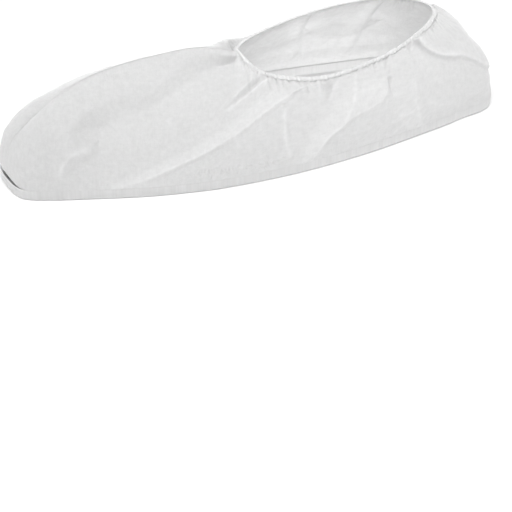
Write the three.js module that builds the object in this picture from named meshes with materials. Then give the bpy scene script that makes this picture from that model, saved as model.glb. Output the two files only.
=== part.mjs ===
import * as THREE from 'three';

// Driving sizes in millimetres, measured from the toe, the centre line and the floor
const LENGTH = 354;
const WALL = 1.2;
const GAP = 0.3;
const SEAM_HEIGHT = 7;
const SOLE_TURN = 5;

// Flat middle of the sole that the cover stands on
const PAD = { front: 110, back: 250, halfWidth: 40 };

// Elasticated hem round the ankle opening
const HEM = { radius: 1.5, ripple: 0.25, gathers: 40, sides: 8 };

// Each side panel is spanned by ribs: u is the rib's share of the way from toe to heel,
// v the share of the way up a rib from the sole seam to the panel's top edge
const OPENING_U = 0.50;
const EDGE_SETBACK = HEM.radius + HEM.ripple + WALL / 2 + GAP;

// Foot of the ribs on the sole seam; belly is how far the panel swells out above it,
// and round runs from 0 for a straight rib to 1 for a quarter of an ellipse
const SOLE_SEAM = [
  { u: 0.00, fromToe: 0, halfWidth: 0, belly: 0, round: 1 },
  { u: 0.06, fromToe: 3, halfWidth: 19, belly: 1, round: 1 },
  { u: 0.13, fromToe: 19, halfWidth: 30, belly: 3, round: 0.85 },
  { u: 0.21, fromToe: 45, halfWidth: 41, belly: 4, round: 0.6 },
  { u: 0.32, fromToe: 76, halfWidth: 53, belly: 4, round: 0.45 },
  { u: 0.41, fromToe: 101, halfWidth: 60, belly: 4, round: 0.4 },
  { u: 0.50, fromToe: 127, halfWidth: 65, belly: 4, round: 0.45 },
  { u: 0.60, fromToe: 174, halfWidth: 68, belly: 3, round: 0.5 },
  { u: 0.70, fromToe: 223, halfWidth: 65, belly: 4, round: 0.65 },
  { u: 0.80, fromToe: 268, halfWidth: 58, belly: 4, round: 0.7 },
  { u: 0.88, fromToe: 307, halfWidth: 50, belly: 4, round: 0.5 },
  { u: 0.95, fromToe: 342, halfWidth: 37, belly: 4, round: 0.4 },
  { u: 1.00, fromToe: LENGTH, halfWidth: 0, belly: 4, round: 0.35 },
];

// Middle of the hem at the ribs of the ankle, from its peak at the front to the heel
const HEM_LINE = [
  { u: OPENING_U, fromToe: 164.5, halfWidth: 0, height: 60 },
  { u: 0.53, fromToe: 168, halfWidth: 10, height: 55 },
  { u: 0.56, fromToe: 172.5, halfWidth: 20, height: 52 },
  { u: 0.60, fromToe: 183.5, halfWidth: 31.5, height: 51 },
  { u: 0.65, fromToe: 205, halfWidth: 42, height: 51 },
  { u: 0.70, fromToe: 232.5, halfWidth: 45, height: 54.5 },
  { u: 0.75, fromToe: 257, halfWidth: 42, height: 58.5 },
  { u: 0.80, fromToe: 278, halfWidth: 34.5, height: 62 },
  { u: 0.88, fromToe: 300.5, halfWidth: 20.5, height: 64 },
  { u: 0.95, fromToe: 310, halfWidth: 8.5, height: 64.5 },
  { u: 1.00, fromToe: 312, halfWidth: 0, height: 64.5 },
];

// Head of the ribs on the front seam, over the toe and up the instep to the hem's peak
const FRONT_SEAM = [
  { u: 0.00, fromToe: 17, height: 39 },
  { u: 0.06, fromToe: 26, height: 48 },
  { u: 0.13, fromToe: 38, height: 56 },
  { u: 0.21, fromToe: 60, height: 65 },
  { u: 0.32, fromToe: 100, height: 70 },
  { u: 0.41, fromToe: 132, height: 69 },
  { u: OPENING_U, fromToe: HEM_LINE[0].fromToe - EDGE_SETBACK, height: HEM_LINE[0].height },
];

// Folds run down the panels along a curve through three (u, v) points, from the hem towards the sole.
// rise and endRise are the crest's height at its two ends, below zero for a crease,
// and toeSide and heelSide the widths of its slopes
const LEFT_FOLDS = [
  { from: [0.60, 0.77], by: [0.50, 0.35], to: [0.29, 0.04], rise: 4, endRise: 2, toeSide: 20, heelSide: 5 },
  { from: [0.57, 0.93], by: [0.52, 0.69], to: [0.48, 0.54], rise: -3, endRise: -1, toeSide: 6, heelSide: 5 },
  { from: [0.65, 0.92], by: [0.645, 0.72], to: [0.64, 0.55], rise: -4, endRise: 0, toeSide: 7, heelSide: 6 },
  { from: [0.69, 0.86], by: [0.66, 0.38], to: [0.62, 0.02], rise: 3, endRise: 1, toeSide: 16, heelSide: 5 },
  { from: [0.73, 0.60], by: [0.71, 0.47], to: [0.67, 0.40], rise: 2, endRise: 1, toeSide: 14, heelSide: 6 },
  { from: [0.78, 0.62], by: [0.78, 0.33], to: [0.81, 0.06], rise: 3, endRise: 1, toeSide: 18, heelSide: 7 },
  { from: [0.80, 0.94], by: [0.85, 0.61], to: [0.95, 0.30], rise: 4, endRise: 3, toeSide: 5, heelSide: 18 },
  { from: [0.20, 0.36], by: [0.155, 0.24], to: [0.15, 0.05], rise: 2, endRise: 2, toeSide: 14, heelSide: 12 },
  { from: [0.49, 0.95], by: [0.4, 0.75], to: [0.22, 0.49], rise: -3, endRise: -1, toeSide: 16, heelSide: 16 },
];
const RIGHT_FOLDS = [
  { from: [0.53, 0.92], by: [0.49, 0.90], to: [0.43, 0.90], rise: 5, endRise: 1, toeSide: 14, heelSide: 14 },
  { from: [0.60, 0.77], by: [0.51, 0.39], to: [0.34, 0.10], rise: 3, endRise: 1, toeSide: 20, heelSide: 6 },
  { from: [0.75, 0.92], by: [0.75, 0.40], to: [0.74, 0.02], rise: -3, endRise: -2, toeSide: 7, heelSide: 7 },
  { from: [0.86, 0.90], by: [0.84, 0.30], to: [0.825, 0.02], rise: -3, endRise: -2, toeSide: 7, heelSide: 7 },
  { from: [0.90, 0.90], by: [0.90, 0.56], to: [0.95, 0.27], rise: 3, endRise: 1, toeSide: 6, heelSide: 16 },
  { from: [0.20, 0.50], by: [0.16, 0.28], to: [0.17, 0.05], rise: 2, endRise: 1, toeSide: 14, heelSide: 12 },
];

// Small gathers hang from the hem, swell to their full height and die away down the panel
const GATHERS = { perSide: 10, height: 0.9, swell: 8, frontFade: 0.08 };

// The front, toe and heel seams stand a little proud; every edge holds still under the folds
const SEAM_RIDGE = { height: 1.5, reach: 6 };
const EDGE_HOLD = 9;
const PANEL_LENGTH = 390;

// Facets of the panels and the sole
const FORE_COLUMNS = 30;
const ANKLE_COLUMNS = 45;
const PANEL_ROWS = 14;
const FOLD_STEPS = 14;
const HIGHEST_NORMAL = 0.94;
const UPRIGHT_FOOT = 0.12;
const SLOPE_STEP = 0.004;
const SOLE_COLUMNS = 48;
const SOLE_TURN_STEPS = 3;

const CLOTH = { color: 0xf1f2f2, roughness: 0.85, metalness: 0 };
const HEM_CLOTH = { color: 0xf6f6f6, roughness: 0.8, metalness: 0 };

// Smooth curves through the tables

function slopeAt(rows, column, i) {
  const rise = (j) => (rows[j + 1][column] - rows[j][column]) / (rows[j + 1].u - rows[j].u);
  if (i === 0) {
    return rise(0);
  }
  if (i === rows.length - 1) {
    return rise(i - 1);
  }
  const before = rows[i].u - rows[i - 1].u;
  const after = rows[i + 1].u - rows[i].u;
  return (before * rise(i) + after * rise(i - 1)) / (before + after);
}

function through(rows, column, u) {
  const found = rows.findLastIndex((row) => row.u <= u);
  const i = THREE.MathUtils.clamp(found, 0, rows.length - 2);
  const width = rows[i + 1].u - rows[i].u;
  const t = (u - rows[i].u) / width;
  const start = (1 + 2 * t) * (1 - t) ** 2 * rows[i][column];
  const end = (3 - 2 * t) * t ** 2 * rows[i + 1][column];
  const leave = t * (1 - t) ** 2 * width * slopeAt(rows, column, i);
  const arrive = t ** 2 * (t - 1) * width * slopeAt(rows, column, i + 1);
  return start + leave + end + arrive;
}

// The sole's outline and the back of the hem cross the centre line square, led by their mirror images
function mirrored(row, end) {
  return { ...row, u: 2 * end.u - row.u, halfWidth: -row.halfWidth };
}

const OUTLINE = [
  mirrored(SOLE_SEAM[1], SOLE_SEAM[0]),
  ...SOLE_SEAM,
  mirrored(SOLE_SEAM.at(-2), SOLE_SEAM.at(-1)),
];
const HEM_CURVE = [...HEM_LINE, mirrored(HEM_LINE.at(-2), HEM_LINE.at(-1))];

function seamPoint(u) {
  return new THREE.Vector3(through(OUTLINE, 'halfWidth', u), through(OUTLINE, 'fromToe', u), SEAM_HEIGHT);
}

// Share of the way round the hem, from its front up the left side, that a rib reaches
function hemTurn(u) {
  return (u - OPENING_U) / (1 - OPENING_U) / 2;
}

function hemPoint(turn) {
  const loop = THREE.MathUtils.euclideanModulo(turn, 1);
  const side = loop > 0.5 ? -1 : 1;
  const u = THREE.MathUtils.lerp(OPENING_U, 1, 1 - Math.abs(1 - 2 * loop));
  const x = side * through(HEM_CURVE, 'halfWidth', u);
  return new THREE.Vector3(x, through(HEM_CURVE, 'fromToe', u), through(HEM_CURVE, 'height', u));
}

// Level direction that points out of an outline followed from the toe up the left side
function outward(outline, t) {
  const along = outline(t + SLOPE_STEP).sub(outline(t - SLOPE_STEP));
  return new THREE.Vector3(along.y, -along.x, 0).normalize();
}

// Side panels

function ribHead(u) {
  if (u <= OPENING_U) {
    return new THREE.Vector3(0, through(FRONT_SEAM, 'fromToe', u), through(FRONT_SEAM, 'height', u));
  }
  const turn = hemTurn(u);
  return hemPoint(turn).addScaledVector(outward(hemPoint, turn), EDGE_SETBACK);
}

// Length of a rib, taken as a quarter of an ellipse
function ribLength(u) {
  const span = ribHead(u).sub(seamPoint(u));
  return (Math.PI / 2) * Math.sqrt(span.lengthSq() / 2);
}

function smoothPoint(u, v) {
  const foot = seamPoint(u);
  const head = ribHead(u);
  const belly = through(OUTLINE, 'belly', u) * Math.sin(Math.PI * v);
  const round = through(OUTLINE, 'round', u);
  const inward = THREE.MathUtils.lerp(v, 1 - Math.cos((v * Math.PI) / 2), round);
  const upward = THREE.MathUtils.lerp(v, Math.sin((v * Math.PI) / 2), round);
  const point = foot.clone().lerp(head, inward);
  point.z = THREE.MathUtils.lerp(foot.z + GAP / 2, head.z, upward);
  return point.addScaledVector(outward(seamPoint, u), belly);
}

function smoothNormal(u, v) {
  const [u0, u1] = [Math.max(u - SLOPE_STEP, 0), Math.min(u + SLOPE_STEP, 1)];
  const [v0, v1] = [Math.max(v - SLOPE_STEP, 0), Math.min(v + SLOPE_STEP, 1)];
  const alongPanel = smoothPoint(u1, v).sub(smoothPoint(u0, v));
  const upRib = smoothPoint(u, v1).sub(smoothPoint(u, v0));
  return alongPanel.cross(upRib).normalize();
}

// Direction through the cloth, level at the sole seam where the panel stands on the sole's rim
function wallNormal(u, v) {
  const normal = smoothNormal(u, Math.min(v, HIGHEST_NORMAL));
  normal.z *= THREE.MathUtils.smoothstep(v, 0, UPRIGHT_FOOT);
  return normal.normalize();
}

function flatPoint(u, v) {
  return new THREE.Vector2(u * PANEL_LENGTH, v * ribLength(u));
}

function foldLine(fold) {
  const [from, by, to] = [fold.from, fold.by, fold.to].map(([u, v]) => flatPoint(u, v));
  const pull = by.multiplyScalar(2).sub(from.clone().add(to).multiplyScalar(0.5));
  return new THREE.QuadraticBezierCurve(from, pull, to).getPoints(FOLD_STEPS);
}

// Height of one fold at a point of the flat panel, from the nearest piece of its line
function foldHeight(fold, line, point) {
  let nearest = Infinity;
  let share = 0;
  let heelward = true;
  for (let i = 0; i < FOLD_STEPS; i += 1) {
    const along = line[i + 1].clone().sub(line[i]);
    const away = point.clone().sub(line[i]);
    const t = THREE.MathUtils.clamp(away.dot(along) / along.lengthSq(), 0, 1);
    const distance = away.clone().addScaledVector(along, -t).length();
    if (distance < nearest) {
      nearest = distance;
      share = (i + t) / FOLD_STEPS;
      heelward = along.cross(away) > 0;
    }
  }
  const width = heelward ? fold.heelSide : fold.toeSide;
  const crest = THREE.MathUtils.lerp(fold.rise, fold.endRise, share);
  return crest * THREE.MathUtils.smoothstep(1 - nearest / width, 0, 1);
}

function gatherHeight(u, below) {
  if (u <= OPENING_U) {
    return 0;
  }
  const turn = hemTurn(u);
  const height = GATHERS.height * THREE.MathUtils.smoothstep(turn, 0, GATHERS.frontFade);
  const drop = below / GATHERS.swell;
  return height * Math.cos(4 * Math.PI * GATHERS.perSide * turn) * drop * Math.exp(1 - drop);
}

// How far the cloth stands off the smooth panel
function relief(u, v, folds) {
  const flat = flatPoint(u, v);
  const below = ribLength(u) - flat.y;
  const fromSeam = Math.min(flat.x, PANEL_LENGTH - flat.x, u <= OPENING_U ? below : Infinity);
  const fromEdge = Math.min(fromSeam, flat.y, below);
  const hold = THREE.MathUtils.smoothstep(fromEdge, 0, EDGE_HOLD);
  const folded = folds.reduce((sum, { fold, line }) => sum + foldHeight(fold, line, flat), 0);
  const proud = SEAM_RIDGE.height * THREE.MathUtils.smoothstep(flat.y, 0, EDGE_HOLD);
  const ridge = proud * Math.exp(-fromSeam / SEAM_RIDGE.reach);
  return hold * folded + ridge + gatherHeight(u, below);
}

function columnShares() {
  const fore = Array.from({ length: FORE_COLUMNS }, (_, i) => (OPENING_U * i) / FORE_COLUMNS);
  const ankle = Array.from({ length: ANKLE_COLUMNS + 1 }, (_, i) => i / ANKLE_COLUMNS);
  return [...fore, ...ankle.map((share) => THREE.MathUtils.lerp(OPENING_U, 1, share))];
}

// Grids of the outer and inner faces of one panel; the right one is mirrored and followed from the heel
function sidePanel(side, foldRows) {
  const folds = foldRows.map((fold) => ({ fold, line: foldLine(fold) }));
  const place = (point) => new THREE.Vector3(side * Math.max(point.x, GAP / 2), point.y, point.z);
  const outer = [];
  const inner = [];
  for (const u of columnShares()) {
    const outerRib = [];
    const innerRib = [];
    for (let j = 0; j <= PANEL_ROWS; j += 1) {
      const v = j / PANEL_ROWS;
      const normal = wallNormal(u, v);
      const point = smoothPoint(u, v).addScaledVector(normal, relief(u, v, folds));
      outerRib.push(place(point));
      innerRib.push(place(point.clone().addScaledVector(normal, -WALL)));
    }
    outer.push(outerRib);
    inner.push(innerRib);
  }
  return side > 0 ? clothWall(outer, inner) : clothWall(outer.reverse(), inner.reverse());
}

// Closed wall between two like grids of points, each a list of ribs
function clothWall(outer, inner) {
  const lastRib = outer.length - 1;
  const lastRow = outer[0].length - 1;
  const at = (layer, i, j) => (layer * outer.length + i) * outer[0].length + j;
  const faces = [];
  const quad = (a, b, c, d) => faces.push(a, b, c, a, c, d);
  for (let i = 0; i < lastRib; i += 1) {
    for (let j = 0; j < lastRow; j += 1) {
      quad(at(0, i, j), at(0, i + 1, j), at(0, i + 1, j + 1), at(0, i, j + 1));
      quad(at(1, i, j), at(1, i, j + 1), at(1, i + 1, j + 1), at(1, i + 1, j));
    }
    quad(at(0, i + 1, 0), at(0, i, 0), at(1, i, 0), at(1, i + 1, 0));
    quad(at(0, i, lastRow), at(0, i + 1, lastRow), at(1, i + 1, lastRow), at(1, i, lastRow));
  }
  for (let j = 0; j < lastRow; j += 1) {
    quad(at(0, 0, j), at(0, 0, j + 1), at(1, 0, j + 1), at(1, 0, j));
    quad(at(0, lastRib, j + 1), at(0, lastRib, j), at(1, lastRib, j), at(1, lastRib, j + 1));
  }
  return indexedGeometry([...outer.flat(), ...inner.flat()], faces);
}

function indexedGeometry(points, faces) {
  const geometry = new THREE.BufferGeometry().setFromPoints(points);
  geometry.setIndex(faces);
  geometry.computeVertexNormals();
  return geometry;
}

// Quads between rings of points; the last ring meets the first where the band closes on itself
function bandFaces(ringCount, ringSize, closed) {
  const faces = [];
  const bands = closed ? ringCount : ringCount - 1;
  for (let r = 0; r < bands; r += 1) {
    const next = (r + 1) % ringCount;
    for (let k = 0; k < ringSize; k += 1) {
      const beside = (k + 1) % ringSize;
      const [a, b] = [r * ringSize + k, r * ringSize + beside];
      const [c, d] = [next * ringSize + beside, next * ringSize + k];
      faces.push(a, b, c, a, c, d);
    }
  }
  return faces;
}

// Sole panel: a flat sheet whose rim turns up to the sole seam

function outlineStations() {
  const half = Array.from({ length: SOLE_COLUMNS + 1 }, (_, i) => {
    const u = i / SOLE_COLUMNS;
    return { foot: seamPoint(u), out: outward(seamPoint, u) };
  });
  const mirror = new THREE.Vector3(-1, 1, 1);
  const other = half.slice(1, -1).reverse().map(({ foot, out }) => ({
    foot: foot.clone().multiply(mirror),
    out: out.clone().multiply(mirror),
  }));
  return [...half, ...other];
}

function soleRing(stations, inset, height) {
  return stations.map(({ foot, out }) => foot.clone().addScaledVector(out, -inset).setZ(height));
}

function soleRings() {
  const stations = outlineStations();
  const rise = SEAM_HEIGHT - GAP / 2;
  const outer = [];
  const inner = [];
  for (let step = 0; step <= SOLE_TURN_STEPS; step += 1) {
    const turn = ((Math.PI / 2) * step) / SOLE_TURN_STEPS;
    const inset = SOLE_TURN * (1 - Math.sin(turn));
    const height = rise * (1 - Math.cos(turn));
    outer.push(soleRing(stations, inset, height));
    inner.push(soleRing(stations, inset + WALL * Math.sin(turn), height + WALL * Math.cos(turn)));
  }
  return [...outer, ...inner.reverse()];
}

function solePanel() {
  const rings = soleRings();
  const ringSize = rings[0].length;
  const points = rings.flat();
  const faces = bandFaces(rings.length, ringSize, false);
  const pad = [
    new THREE.Vector3(-PAD.halfWidth, PAD.front, 0),
    new THREE.Vector3(-PAD.halfWidth, PAD.back, 0),
    new THREE.Vector3(PAD.halfWidth, PAD.back, 0),
    new THREE.Vector3(PAD.halfWidth, PAD.front, 0),
  ];
  const padStart = points.length;
  points.push(...pad);
  const underside = THREE.ShapeUtils.triangulateShape(rings[0], [pad]);
  const undersideIndex = (i) => (i < ringSize ? i : padStart + i - ringSize);
  for (const [a, b, c] of underside) {
    faces.push(undersideIndex(c), undersideIndex(b), undersideIndex(a));
  }
  faces.push(padStart, padStart + 1, padStart + 2, padStart, padStart + 2, padStart + 3);
  const insideStart = (rings.length - 1) * ringSize;
  for (const [a, b, c] of THREE.ShapeUtils.triangulateShape(rings.at(-1), [])) {
    faces.push(insideStart + a, insideStart + b, insideStart + c);
  }
  return indexedGeometry(points, faces);
}

// Ankle hem: a closed tube of cloth over elastic, drawn into small even gathers

function ankleHem() {
  const segments = 2 * HEM.gathers;
  const rings = [];
  for (let side = 0; side < HEM.sides; side += 1) {
    const around = (2 * Math.PI * side) / HEM.sides;
    const ring = [];
    for (let k = 0; k < segments; k += 1) {
      const turn = k / segments;
      const radius = HEM.radius + HEM.ripple * Math.cos(2 * Math.PI * HEM.gathers * turn);
      const point = hemPoint(turn).addScaledVector(outward(hemPoint, turn), radius * Math.cos(around));
      point.z += radius * Math.sin(around);
      ring.push(point);
    }
    rings.push(ring);
  }
  return indexedGeometry(rings.flat(), bandFaces(rings.length, segments, true));
}

function piece(name, geometry, finish) {
  const mesh = new THREE.Mesh(geometry, new THREE.MeshStandardMaterial(finish));
  mesh.name = name;
  return mesh;
}

// The whole cover, with its origin on the floor under the middle of the sole
const shoeCover = new THREE.Group();
shoeCover.add(piece('sole_panel', solePanel(), CLOTH));
shoeCover.add(piece('left_side_panel', sidePanel(1, LEFT_FOLDS), CLOTH));
shoeCover.add(piece('right_side_panel', sidePanel(-1, RIGHT_FOLDS), CLOTH));
shoeCover.add(piece('ankle_elastic_hem', ankleHem(), HEM_CLOTH));
shoeCover.position.y = -LENGTH / 2;

export default shoeCover;
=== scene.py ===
import math
from dataclasses import dataclass

import bmesh
import bpy
import numpy as np
from mathutils import Matrix, Vector


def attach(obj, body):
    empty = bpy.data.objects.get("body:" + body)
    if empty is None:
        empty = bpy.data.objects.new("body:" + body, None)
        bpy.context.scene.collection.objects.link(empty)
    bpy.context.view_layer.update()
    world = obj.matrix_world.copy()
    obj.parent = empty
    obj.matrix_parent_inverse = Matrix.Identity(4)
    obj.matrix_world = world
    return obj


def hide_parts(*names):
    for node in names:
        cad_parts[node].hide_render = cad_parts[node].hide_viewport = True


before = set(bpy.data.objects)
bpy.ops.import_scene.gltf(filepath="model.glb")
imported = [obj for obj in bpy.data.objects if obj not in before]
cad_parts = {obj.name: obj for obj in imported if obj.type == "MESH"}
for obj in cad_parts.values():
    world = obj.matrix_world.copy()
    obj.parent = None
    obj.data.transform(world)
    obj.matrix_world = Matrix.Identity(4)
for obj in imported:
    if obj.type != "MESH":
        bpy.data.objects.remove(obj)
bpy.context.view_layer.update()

# Sizes in millimetres, measured from the toe, the centre line and the floor; meshes are made in metres
MM = 0.001
LENGTH = 354.0
WALL = 0.7
SEAM_HEIGHT = 7.0
SOLE_TURN = 5.0
SEAM_GAP = 0.02
HEM = {"thickness": 0.8, "height": 2.2, "seat": 1.2}


def columns(names, rows):
    """A table as one array for each of its named columns."""
    return dict(zip(names.split(), np.array(rows, float).T))


# Ribs span each side panel from the sole seam to its top edge; u runs from toe to heel, v up a rib.
# PANEL_LENGTH is the cloth's length along the sole seam, and OPENING_U the rib where the opening begins.
PANEL_LENGTH = 390.0
OPENING_U = 0.50
SOLE_SEAM = columns("u from_toe half_width belly round", [
    (0.00, 0, 0, 0, 1.0),
    (0.06, 3, 19, 1, 1.0),
    (0.13, 19, 30, 3, 0.85),
    (0.21, 45, 41, 4, 0.6),
    (0.32, 76, 53, 4, 0.45),
    (0.41, 101, 60, 4, 0.4),
    (0.50, 127, 65, 4, 0.45),
    (0.60, 174, 68, 3, 0.5),
    (0.70, 223, 65, 4, 0.65),
    (0.80, 268, 58, 4, 0.7),
    (0.88, 307, 50, 4, 0.5),
    (0.95, 342, 37, 4, 0.4),
    (1.00, LENGTH, 0, 4, 0.35),
])
HEM_LINE = columns("u from_toe half_width height", [
    (OPENING_U, 164.5, 0, 60),
    (0.53, 168, 10, 55),
    (0.56, 172.5, 20, 52),
    (0.60, 183.5, 31.5, 51),
    (0.65, 205, 42, 51),
    (0.70, 232.5, 45, 54.5),
    (0.75, 257, 42, 58.5),
    (0.80, 278, 34.5, 62),
    (0.88, 300.5, 20.5, 64),
    (0.95, 310, 8.5, 64.5),
    (1.00, 312, 0, 64.5),
])
FRONT_SEAM = columns("u from_toe height", [
    (0.00, 17, 39),
    (0.06, 26, 48),
    (0.13, 38, 56),
    (0.21, 60, 65),
    (0.32, 100, 70),
    (0.41, 132, 69),
    (OPENING_U, 164.5 - HEM["seat"], 60),
])


@dataclass
class Fold:
    """A fold along a line of (u, v) points, led from the hem towards the sole.

    rise and end_rise are the heights of its crest at the line's two ends, below zero for a crease,
    and toe_side and heel_side the widths of its slopes. The cloth lies double, and looks whiter, over
    the width lap on the toe side, or on the heel side where lap is below zero; edge is a painted
    highlight along the folded edge, or painted shade where it is below zero. swell is added to the
    crest halfway along the line, and fade is the share of the line along which the lap and the
    painted edge come in.
    """
    line: list
    rise: float
    end_rise: float
    toe_side: float
    heel_side: float
    lap: float = 0.0
    edge: float = 0.0
    swell: float = 0.0
    fade: float = 0.01


LEFT_FOLDS = [
    # Broad band that is pulled from the hem down to the sole under the instep
    Fold([(0.60, 0.78), (0.546, 0.54), (0.50, 0.34), (0.45, 0.24), (0.374, 0.14), (0.30, 0.05), (0.25, 0.0)],
         1.1, 0.7, 17, 3.6, lap=15, edge=0.6),
    Fold([(0.57, 0.91), (0.51, 0.63), (0.45, 0.45), (0.385, 0.34), (0.33, 0.21), (0.26, 0.07)],
         -0.7, -0.3, 5, 5, edge=0.35),
    # Tuck beside its upper end
    Fold([(0.571, 0.95), (0.523, 0.69), (0.48, 0.53)], 1.3, 0.2, 2.6, 7, edge=0.7),
    Fold([(0.535, 0.86), (0.498, 0.64), (0.474, 0.53)], 0.7, 0.2, 7, 2.6, edge=0.5),
    Fold([(0.56, 0.96), (0.512, 0.68), (0.485, 0.57)], -2.2, -0.4, 4.2, 4.2),
    # Thin crease down the side
    Fold([(0.586, 0.63), (0.583, 0.31), (0.59, 0.08)], 0.5, 0.4, 6, 2.2, edge=0.9),
    # Pleat under the hem
    Fold([(0.652, 0.99), (0.65, 0.82), (0.642, 0.60)], -4.4, 0.0, 4.0, 3.4, edge=-0.6),
    Fold([(0.672, 0.96), (0.662, 0.84), (0.647, 0.64)], 1.0, 0.3, 2.4, 6, edge=0.5),
    # Ankle band and the flap that lies over it
    Fold([(0.69, 0.94), (0.673, 0.50), (0.66, 0.36), (0.641, 0.25), (0.625, 0.03)],
         1.1, 0.6, 12, 4.0, edge=0.7),
    Fold([(0.732, 0.68), (0.724, 0.51), (0.70, 0.45), (0.674, 0.41), (0.66, 0.34), (0.641, 0.24),
          (0.625, 0.03)], 0.9, 0.8, 11, 3.2, lap=25, edge=0.4),
    Fold([(0.734, 0.66), (0.733, 0.58), (0.738, 0.46)], -2.4, -0.2, 2.8, 2.6, edge=-0.2),
    # Edge where the heel turns away, and the creases round its foot
    Fold([(0.776, 0.66), (0.777, 0.50), (0.782, 0.34), (0.795, 0.19), (0.81, 0.06)],
         1.5, 0.9, 13, 6, lap=26, edge=0.8, fade=0.6),
    Fold([(0.785, 0.15), (0.775, 0.10), (0.757, 0.03)], 0.9, 0.4, 4, 3, edge=0.6),
    Fold([(0.755, 0.17), (0.80, 0.24), (0.845, 0.21)], 0.9, 0.4, 3, 5, edge=0.6),
    Fold([(0.80, 0.33), (0.822, 0.21), (0.855, 0.13)], 0.8, 0.5, 3, 5, edge=0.6),
    # Heel flap that laps over the side
    Fold([(0.797, 0.98), (0.817, 0.75), (0.846, 0.62), (0.89, 0.54), (0.92, 0.46), (0.952, 0.28)],
         3.2, 1.6, 2.6, 16, lap=-6, edge=0.6),
    Fold([(0.787, 0.95), (0.806, 0.70), (0.836, 0.56), (0.87, 0.49)], -2.0, -0.6, 14, 5),
    Fold([(0.97, 0.40), (0.945, 0.20), (0.905, 0.13), (0.85, 0.08)], 2.2, 1.2, 12, 7, edge=0.2),
    # Bulge of the ankle, which leaves the lower side in shade
    Fold([(0.665, 0.51), (0.74, 0.48), (0.80, 0.45), (0.87, 0.43)], 5.5, 4.5, 34, 34),
    # Toe crest with a hollow behind it, and the hollow from the opening's peak along the instep
    Fold([(0.20, 0.36), (0.161, 0.28), (0.15, 0.17), (0.158, 0.05)], 2.6, 2.6, 14, 10, edge=0.7),
    Fold([(0.49, 0.95), (0.45, 0.86), (0.414, 0.78), (0.374, 0.67), (0.285, 0.58), (0.20, 0.47)],
         -2.8, -3.6, 15, 17),
    Fold([(0.531, 0.92), (0.45, 0.79), (0.373, 0.65), (0.34, 0.57)], 1.0, 0.2, 5, 10, edge=0.25),
    Fold([(0.50, 0.96), (0.485, 0.93), (0.46, 0.89)], -1.5, -0.3, 3.2, 3.2),
    # Short ticks, on the side and under the hem
    Fold([(0.358, 0.48), (0.369, 0.43), (0.38, 0.37)], 0.5, 0.2, 3, 2, edge=0.7),
    Fold([(0.502, 0.34), (0.508, 0.30), (0.514, 0.26)], 0.5, 0.2, 3, 2, edge=0.6),
    Fold([(0.86, 0.995), (0.859, 0.95), (0.858, 0.89)], -2.0, -0.2, 2.4, 2.4),
    Fold([(0.832, 0.99), (0.831, 0.94), (0.835, 0.88)], -1.8, -0.2, 2.2, 2.2),
]
RIGHT_FOLDS = [
    # Cloth that stands up beyond the hem beside the opening's peak
    Fold([(0.63, 0.95), (0.57, 0.94), (0.52, 0.92), (0.47, 0.90), (0.42, 0.89)], 0, 0, 14, 14, swell=8.5),
    # Far wall that hangs straight from the hem to the sole
    Fold([(0.60, 0.46), (0.70, 0.43), (0.82, 0.43), (0.93, 0.45)], -5, -5, 42, 42),
    # Band, tuck and pleat like the near side's
    Fold([(0.60, 0.78), (0.55, 0.56), (0.50, 0.36), (0.43, 0.22), (0.34, 0.10)],
         1.6, 0.6, 18, 3, lap=14, edge=0.5),
    Fold([(0.56, 0.96), (0.53, 0.76), (0.50, 0.62)], -2.0, -0.3, 3.5, 3.5),
    Fold([(0.66, 0.98), (0.65, 0.78), (0.645, 0.55)], 1.4, 0.2, 8, 2.6, edge=0.4),
    # Creases that show on the inside of the far wall, with an overlap between them
    Fold([(0.727, 0.92), (0.725, 0.50), (0.733, 0.22), (0.722, 0.02)], -1.4, -0.9, 9, 4.0, edge=-0.3),
    Fold([(0.842, 0.90), (0.832, 0.44), (0.823, 0.19), (0.814, 0.02)], -1.4, -0.8, 9, 4.0, edge=-0.3),
    Fold([(0.745, 0.49), (0.781, 0.34), (0.813, 0.34), (0.85, 0.49)], -0.6, -0.6, 3, 12, lap=-20, fade=0.3),
    # Heel, toe crest, instep hollow and a thin crease down the side
    Fold([(0.90, 0.94), (0.90, 0.58), (0.95, 0.27)], 0.6, 0.3, 10, 15),
    Fold([(0.20, 0.50), (0.165, 0.28), (0.17, 0.05)], 1.4, 1.0, 14, 7, edge=0.3),
    Fold([(0.49, 0.93), (0.42, 0.78), (0.30, 0.60)], -1.6, -0.3, 11, 11),
    Fold([(0.60, 0.60), (0.603, 0.32), (0.61, 0.06)], 0.6, 0.3, 6, 2.4, edge=0.6),
]

# How a fold shows: its painted highlight or painted shade along the edge, which fades towards the line's end,
# and its lap
FOLD_STEPS = 30
EDGE = {"width": 0.9, "fade": 0.85}
LAP = {"layers": 0.6, "whiteness_and_painted_light": 0.06, "taper": 0.65, "soft": 0.6}

# Layers of cloth beyond the first along the seams, for the left side (1) and the right side (-1)
SEAM_LAP = 1.4
SOLE_COVER = {1: 1.0, -1: 0.1}
SEAM_ALLOWANCE = {"layers": {1: 0.25, -1: 0.05}, "full": 8.0, "end": 24.0}
CENTRE_COVER = {"plain": 0.65, "peak": 0.9}

# How far from each edge the relief reaches its full height, and how near the centre seam it closes
EDGE_HOLD = {"seam": 9.0, "hem": 6.0, "pleat": 1.5, "sole": 13.0}
SEAM_CLOSE = 4.0
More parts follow.
